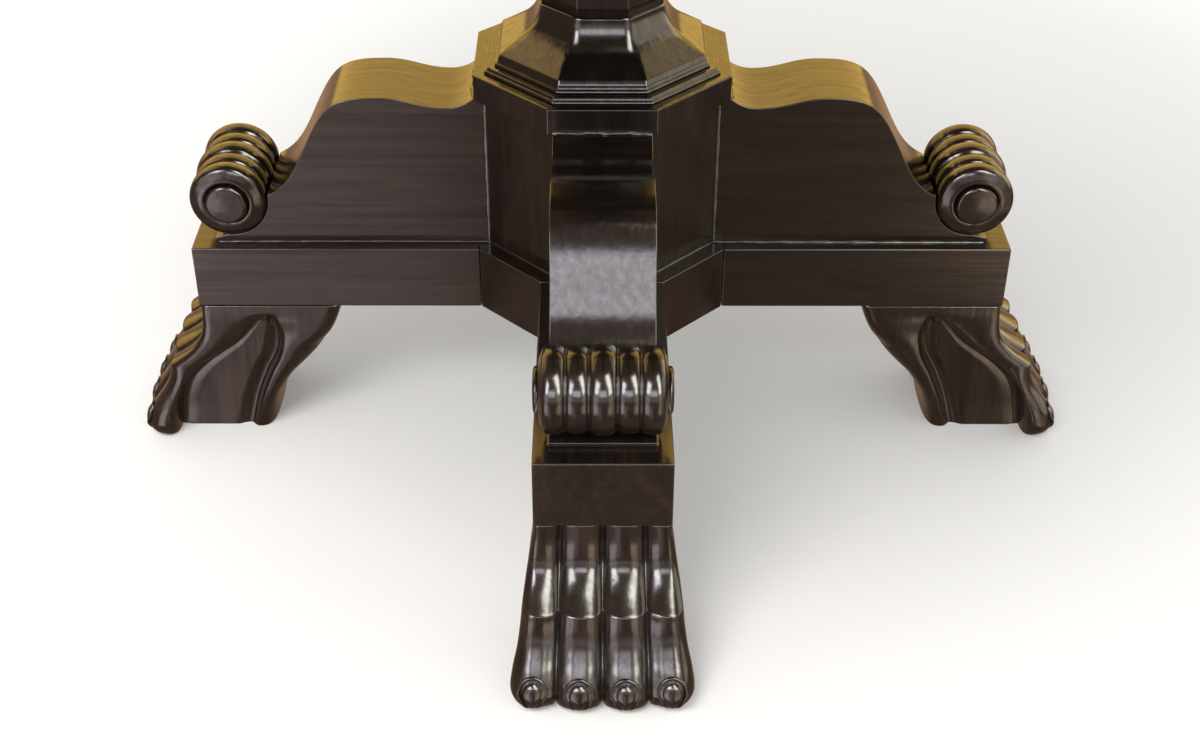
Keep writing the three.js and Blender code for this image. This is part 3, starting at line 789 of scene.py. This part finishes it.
def cuticle(toe, steps=44, sides=10):
    """The fold of skin over a claw: a low rounded roll, arched over it and open below."""
    span = 324
    path = []
    for n in range(steps + 1):
        angle = -math.radians(span / 2) + math.radians(span) * n / steps
        path.append(toe_frame(toe, *claw_outline(angle, FOLD_HALF, FOLD_TOP, FOLD_POINT)))
    points = np.array([p for p, _ in path])
    tangents = np.gradient(points, axis=0)
    verts, faces = [], []
    for n, (point, normal) in enumerate(path):
        tangent = tangents[n] / np.linalg.norm(tangents[n])
        side = np.cross(tangent, normal)
        taper = math.sin(math.pi * min(1, max(0.02, n / steps))) ** 0.5
        for k in range(sides):
            a = 2 * math.pi * k / sides
            offset = FOLD_WIDE * taper * math.cos(a) * side
            offset += FOLD_HIGH * taper * math.sin(a) * normal
            verts.append(point - 0.15 * normal + offset)
    faces += ring_faces(steps + 1, sides)
    return verts, faces


def paws():
    """One carved paw, its claws and the folds over them, used on all four arms."""
    levels = paw_levels()
    rings = []
    for z in levels:
        x, y = half_ring(z)
        x = np.concatenate([x, x[-2:0:-1]])
        y = np.concatenate([y, -y[-2:0:-1]])
        rings.append(np.stack([x, y, np.full_like(x, z)], 1))
    count = len(rings[0])
    verts = [v for ring in rings for v in ring]
    faces = ring_faces(len(rings), count)
    for toe in range(4):
        for more, shapes in (claw(toe), cuticle(toe)):
            first = len(verts)
            verts += more
            faces += [tuple(first + i for i in face) for face in shapes]
    verts = np.array(verts) * MM
    for arm, angle in ARM_ANGLES.items():
        name = f"look_paw_{arm}"
        obj = link(name, mesh_from(name, verts, faces), angle)
        dress(obj, DARK, [f"paw_{arm}"], "z")


# ---- body, cap and column -------------------------------------------------------------------
def octagon_ring(apothem, z, corner):
    """An eight-sided ring with rounded corners, plus a point just inside each flat's ends."""
    points = []
    for n in range(8):
        middle = math.pi / 8 + n * math.pi / 4
        far = (apothem - corner) / math.cos(math.pi / 8)
        cx, cy = far * math.cos(middle), far * math.sin(middle)
        arc = [middle - math.pi / 8 + math.pi / 4 * k / 4 for k in range(5)]
        row = [(cx + corner * math.cos(a), cy + corner * math.sin(a)) for a in arc]
        for a, (x, y), way in ((arc[0], row[0], 1), (arc[-1], row[-1], -1)):
            slide = 0.6 * MM
            extra = (x + way * slide * math.sin(a), y - way * slide * math.cos(a))
            row = [extra] + row if way > 0 else row + [extra]
        points += [(x, y, z) for x, y in row]
    return points


def octagon_turning(node, profile, corner, rub_and_sheen=0.6):
    """An octagonal moulding from (apothem, height) points in millimetres, with a hole for the
    rod. Corner is the corners' radius, or a function that gives it for an apothem, and
    rub_and_sheen is how much paler the corners are painted: partly wear, partly painted highlight."""
    radius_at = corner if callable(corner) else lambda apothem: corner
    rings = [octagon_ring(a * MM, z * MM, min(radius_at(a), 0.3 * a) * MM) for a, z in profile]
    count = len(rings[0])
    for z in (profile[-1][1], profile[0][1]):
        ring = []
        for x, y, _ in rings[0]:
            a = math.atan2(y, x)
            ring.append((ROD_HOLE * math.cos(a), ROD_HOLE * math.sin(a), z * MM))
        rings.append(ring)
    verts = np.array(rings).reshape(-1, 3)
    faces = ring_faces(len(rings), count, closed_column=True, caps=(False, False))
    name = f"look_{node}"
    obj = link(name, mesh_from(name, verts, faces))
    # The corners' rounded points are painted paler: partly wear, partly painted highlight.
    worn_and_sheen = np.tile([0, 0, 1, 1, 1, 0, 0], 8 * len(rings)) * rub_and_sheen
    return dress(obj, DARK, [node], "z", worn_and_sheen)


def nosing(apothem, bottom, top, lower, upper, steps=6):
    """Profile of a flat slab's edge, rounded below and above, without its inner ends."""
    profile = []
    for k in range(steps + 1):
        a = math.pi / 2 * k / steps
        profile.append((apothem - lower + lower * math.sin(a), bottom + lower - lower * math.cos(a)))
    profile += [(apothem, bottom + lower + 0.3), (apothem, top - upper - 0.3)]
    for k in range(steps + 1):
        a = math.pi / 2 * k / steps
        profile.append((apothem - upper + upper * math.cos(a), top - upper + upper * math.sin(a)))
    return profile


def sloped(apothem, bottom, top, slope):
    """Profile of a thin step whose face leans in for its last slope millimetres."""
    start = top - slope
    inner = apothem - 0.43 * slope
    return [(apothem, bottom), (apothem, start - 0.25), (apothem - 0.1, start),
            (apothem - 0.3, start + 0.4), (inner, top - 0.4), (inner - 0.25, top - 0.1),
            (inner - 0.7, top)]


def flare(wide, run, narrow, start, end, steps=22):
    """(apothem, rise) of a spreading foot: a straight run inward, then a hollow arc."""
    start, end = math.radians(start), math.radians(end)
    radius = (wide - run - narrow) / (math.sin(end) - math.sin(start))
    rows = [(wide - run * k / 6, run * k / 6 * math.tan(start)) for k in range(6)]
    for k in range(steps + 1):
        a = start + (end - start) * k / steps
        rows.append((wide - run - radius * (math.sin(a) - math.sin(start)),
                     run * math.tan(start) + radius * (math.cos(start) - math.cos(a))))
    return rows


def body_and_cap():
    """Eight eased staves, the cap's slab, and its two mouldings of two sloped steps each."""
    for side in ("right", "back_right", "back", "back_left", "left", "front_left", "front",
                 "front_right"):
        eased_copy(f"body_stave_{side}", 0.8 * MM, grain="z")
    slab = nosing(CAP_HIGH.x / MM, CAP_LOW.z / MM, CAP_HIGH.z / MM, 0.8, 1.3)
    profile = [(slab[0][0] - 1, slab[0][1])] + slab + [(slab[-1][0] - 1, slab[-1][1])]
    # The slab's corners are painted fully paler: partly wear, partly painted highlight.
    octagon_turning("cap_slab", profile, 1.5, rub_and_sheen=1.0)
    for node in ("cap_moulding_lower", "cap_moulding_upper"):
        low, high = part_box(node)
        apothem, bottom, top = high.x / MM, low.z / MM, high.z / MM
        middle = (bottom + top) / 2
        profile = [(apothem - 1.5, bottom)] + sloped(apothem, bottom, middle, 1.6)
        profile += sloped(apothem - 2.3, middle, top, 2.2)
        octagon_turning(node, profile + [(apothem - 5, top)], 1.0)


def column():
    """The octagonal column: a spreading foot, a tapered shaft, a neck ring and a head."""
    low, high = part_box("column_foot")
    wide, bottom = high.x / MM, low.z / MM
    step, taper, swell = 1.5, 6, 1.2
    neck = COLUMN_SHAFT / MM + step
    cove = [(a, bottom + 3.0 + rise) for a, rise in flare(wide, 20, neck, 33, 85)][1:]
    lip = [(wide - 1, bottom), (wide - 0.4, bottom + 0.1)]
    lip += sloped(wide, bottom + 0.3, bottom + 4.6, 4.0)

    def foot_corner(apothem):
        return 3.0 + 10.0 * float(smoothstep(wide - 1, wide - 16, apothem))

    octagon_turning("column_foot", lip + cove, foot_corner, rub_and_sheen=0.0)
    low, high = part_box("column_shaft")
    bottom, top = low.z / MM, high.z / MM
    shaft = []
    for k in range(13):
        t = k / 12
        apothem = neck - step - taper * t + swell * math.sin(math.pi * t)
        shaft.append((apothem, bottom + (top - bottom) * t))
    octagon_turning("column_shaft", shaft, 1.2)
    low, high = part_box("column_neck")
    bottom, top, apothem = low.z / MM, high.z / MM, high.x / MM
    bulge = 5.5
    bead = []
    for k in range(15):
        a = -math.pi / 2 + math.pi * k / 14
        bead.append((apothem - bulge + bulge * math.cos(a),
                     (bottom + top) / 2 + (top - bottom) / 2 * math.sin(a)))
    octagon_turning("column_neck", bead, 1.6)
    low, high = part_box("column_head")
    wide, top = high.x / MM, high.z / MM
    lip_height = 9
    narrow = neck - step - taper
    cove = [(a, top - lip_height - rise) for a, rise in reversed(flare(wide, 16, narrow, 36, 85))]
    lip = nosing(wide, top - lip_height, top, 0.5, 1.2)[5:]
    octagon_turning("column_head", cove + lip + [(wide - 3, top)], 1.2)


# ---- top -----------------------------------------------------------------------------------
def ring_turning(node, profile, sides):
    """A turned ring whose profile closes on itself, in millimetres."""
    verts = []
    for r, z in profile:
        for k in range(sides):
            a = 2 * math.pi * k / sides
            verts.append((r * math.cos(a) * MM, r * math.sin(a) * MM, z * MM))
    faces = ring_faces(len(profile), sides, closed_column=True, caps=(False, False))
    name = f"look_{node}"
    return dress(link(name, mesh_from(name, verts, faces)), DARK, [node])


def table_top():
    """The panel and its moulded rim: from below a bead, a hollow, a small step and a nosing.
    The pedestal's lacquer doesn't mirror them."""
    radius, top, bottom = TOP_HIGH.x / MM, TOP_HIGH.z / MM, TOP_LOW.z / MM
    inner = PANEL_RADIUS / MM + GAP
    bead, hollow_width, hollow_height, nose = 1.5, 15.5, 6.5, 11.0
    nose_depth = 0.9 * nose
    profile = [(inner, bottom + 1), (inner + 1, bottom), (radius - 30, bottom),
               (radius - 23, bottom)]
    for k in range(7):
        a = math.pi / 2 * k / 6
        profile.append((radius - 22 + bead * math.sin(a), bottom + bead - bead * math.cos(a)))
    profile.append((radius - 20.5, bottom + 4))
    for k in range(1, 15):
        a = math.pi / 2 * k / 14
        profile.append((radius - 20.5 + hollow_width * (1 - math.cos(a)),
                        bottom + 4 + hollow_height * math.sin(a)))
    profile += [(radius - 4.4, bottom + 10.8), (radius - 3.6, bottom + 11.4)]
    for k in range(21):
        a = -math.pi / 2 + math.pi * k / 20
        profile.append((radius - nose_depth + nose_depth * math.cos(a),
                        top - nose + nose * math.sin(a)))
    profile += [(radius - 24, top), (inner + 1.4, top), (inner + 0.5, top - 0.3),
                (inner, top - 1.2)]
    rim = ring_turning("top_rim", profile, 256)
    panel = [(0, bottom), (inner - 1.3, bottom), (inner - 0.3, bottom + 1),
             (inner - 0.3, top - 1.2), (inner - 0.8, top - 0.3), (inner - 1.7, top),
             (inner - 3, top), (0, top)]
    name = "look_top_panel"
    mesh = lathe(name, [(r * MM, z * MM) for r, z in panel], 192)
    obj = soften_normals(link(name, mesh))
    dress(obj, DARK, ["top_panel"])
    for part in (rim, obj):
        part.visible_glossy = False


def under_the_top():
    """The plate on the column's head, and the two bearers crossed over it."""
    eased_copy("mounting_plate", 1.5 * MM)
    eased_copy("bearer_long", 1.5 * MM)
    eased_copy("bearer_cross", 1.5 * MM, angle=90)


# ---- small things --------------------------------------------------------------------------
def carried_over():
    """Hidden dowels and hardware keep their CAD shapes and get their own materials."""
    slots = {s["node"]: s["material_slot"] for s in frame["record"]["subparts"]}
    for node, obj in frame["nodes"].items():
        if obj.hide_render:
            continue
        material = MATERIALS[slots[node]]
        obj.data.materials.clear()
        obj.data.materials.append(material)


# ---- stage ---------------------------------------------------------------------------------
def floor():
    """A wide pale floor. The lacquer doesn't mirror it: reflectors below the horizon stand in
    for the studio's own floor, and it casts no shadow that would hide them."""
    bm = bmesh.new()
    bmesh.ops.create_circle(bm, cap_ends=True, segments=96, radius=14)
    mesh = bpy.data.meshes.new("floor")
    bm.to_mesh(mesh)
    bm.free()
    obj = link("floor", mesh)
    obj.location.z = -0.0002
    n = Nodes("pale_floor")
    n.shader.inputs["Base Color"].default_value = (0.87, 0.865, 0.85, 1)
    n.shader.inputs["Roughness"].default_value = 0.9
    n.shader.inputs["Specular IOR Level"].default_value = 0.1
    n.shader.inputs["Emission Color"].default_value = (1, 1, 0.99, 1)
    n.shader.inputs["Emission Strength"].default_value = 0.1
    mesh.materials.append(n.material)
    obj.visible_glossy = False
    obj.visible_shadow = False


REFLECTORS_AIM = Vector((0, -0.25, 0.3))


def reflector(name, azimuth, elevation, spans, colour, radiance, distance=8.0):
    """A glowing panel that only shows in reflections. Azimuth 0 is in front of the table and 90
    is at its right; spans are the panel's width and height in degrees seen from its aim."""
    turn, lift = math.radians(azimuth), math.radians(elevation)
    level = math.cos(lift)
    way = Vector((math.sin(turn) * level, -math.cos(turn) * level, math.sin(lift)))
    size = [2 * distance * math.tan(math.radians(span / 2)) for span in spans]
    obj = area_light(name, REFLECTORS_AIM + way * distance, REFLECTORS_AIM, size, colour, radiance)
    obj.visible_diffuse = False
    return obj


def area_light(name, place, target, size, colour, radiance):
    light = bpy.data.lights.new(name, "AREA")
    light.shape = "RECTANGLE"
    light.size, light.size_y = size
    light.color = colour
    light.energy = radiance * math.pi * size[0] * size[1]
    obj = bpy.data.objects.new(name, light)
    bpy.context.scene.collection.objects.link(obj)
    obj.location = place
    obj.rotation_euler = (Vector(target) - Vector(place)).to_track_quat("-Z", "Y").to_euler()
    obj.visible_camera = False
    return obj


def world():
    """Even pale light on everything, and a dim brown room where the lacquer mirrors it."""
    scene_world = bpy.data.worlds.new("studio")
    bpy.context.scene.world = scene_world
    scene_world.use_nodes = True
    tree = scene_world.node_tree
    tree.nodes.clear()
    output = tree.nodes.new("ShaderNodeOutputWorld")
    blend = tree.nodes.new("ShaderNodeMixShader")
    paths = tree.nodes.new("ShaderNodeLightPath")
    room = tree.nodes.new("ShaderNodeBackground")
    room.inputs[0].default_value = (1.0, 0.985, 0.965, 1)
    room.inputs[1].default_value = 1.0
    seen = tree.nodes.new("ShaderNodeBackground")
    seen.inputs[0].default_value = (0.24, 0.155, 0.105, 1)
    seen.inputs[1].default_value = 1.0
    tree.links.new(paths.outputs["Is Glossy Ray"], blend.inputs[0])
    tree.links.new(room.outputs[0], blend.inputs[1])
    tree.links.new(seen.outputs[0], blend.inputs[2])
    tree.links.new(blend.outputs[0], output.inputs[0])


def lights():
    """Two softboxes, each in a wider glow, and a panel in front, a pale wall at the right, golden
    walls behind that leave out the table's top, and dim panels below the horizon for the floor.
    One further light gives the shadow on the floor and doesn't show in reflections."""
    reflector("front_panel", -1, 23.1, (27, 13.6), (0.95, 0.92, 1.0), 5.8, 2.42)
    reflector("left_softbox", -32, 34, (19, 28), (0.98, 0.93, 1.0), 13.0)
    reflector("left_glow", -35, 22, (32, 60), (1.0, 0.93, 0.95), 1.2)
    reflector("right_softbox", 35, 43, (18, 48), (1.0, 0.97, 0.87), 13.0)
    reflector("right_glow", 37, 30, (34, 76), (1.0, 0.93, 0.82), 1.0)
    reflector("right_wall", 98, 18, (64, 44), (1.0, 0.9, 0.7), 1.8)
    reflector("front_room", 0, 7, (130, 10), (1.0, 0.9, 0.84), 0.7)
    golden = [reflector("golden_wall", 180, 26, (140, 46), (1.0, 0.62, 0.12), 1.75),
              reflector("golden_left", -118, 43, (32, 26), (1.0, 0.66, 0.26), 1.9),
              reflector("golden_right", 118, 43, (32, 26), (1.0, 0.8, 0.42), 1.3)]
    pedestal = bpy.data.collections.new("pedestal")
    for obj in bpy.context.scene.objects:
        if obj.name.startswith("look_") and not obj.name.startswith("look_top"):
            pedestal.objects.link(obj)
    for obj in golden:
        obj.light_linking.receiver_collection = pedestal
    reflector("low_left", -35, -20, (28, 26), (1.0, 0.85, 0.9), 2.7)
    reflector("low_left_edge", -13, -26, (12, 36), (1.0, 0.8, 0.8), 0.7)
    reflector("low_right", 31, -20, (24, 24), (1.0, 0.78, 0.56), 2.0)
    reflector("low_right_edge", 58, -22, (26, 30), (1.0, 0.7, 0.5), 0.5)
    reflector("low_back", 180, -16, (120, 34), (1.0, 0.54, 0.22), 0.24)
    key = area_light("key", (-1.2, -2.2, 3.2), (0, 0, 0.2), (1.8, 1.8), (1.0, 0.98, 0.96), 9.0)
    key.visible_glossy = False


def camera():
    """The photograph's viewpoint: a normal lens a little over a metre up, looking down."""
    data = bpy.data.cameras.new("camera")
    data.sensor_width = 36
    data.lens = 52.75
    data.clip_end = 60
    obj = bpy.data.objects.new("camera", data)
    bpy.context.scene.collection.objects.link(obj)
    pitch, yaw, roll = (math.radians(v) for v in (34.92, 0.268, 0.205))
    turn = (Matrix.Rotation(-yaw, 4, "Z") @ Matrix.Rotation(math.pi / 2 - pitch, 4, "X")
            @ Matrix.Rotation(roll, 4, "Z"))
    obj.matrix_world = Matrix.Translation((-0.0079, -1.4973, 1.0699)) @ turn
    bpy.context.scene.camera = obj


bpy.context.scene.view_settings.view_transform = "Standard"
bpy.context.scene.view_settings.look = "None"

rails_and_hub()
brackets()
rolls_and_buttons()
paws()
body_and_cap()
column()
table_top()
under_the_top()
carried_over()
floor()
world()
lights()
camera()
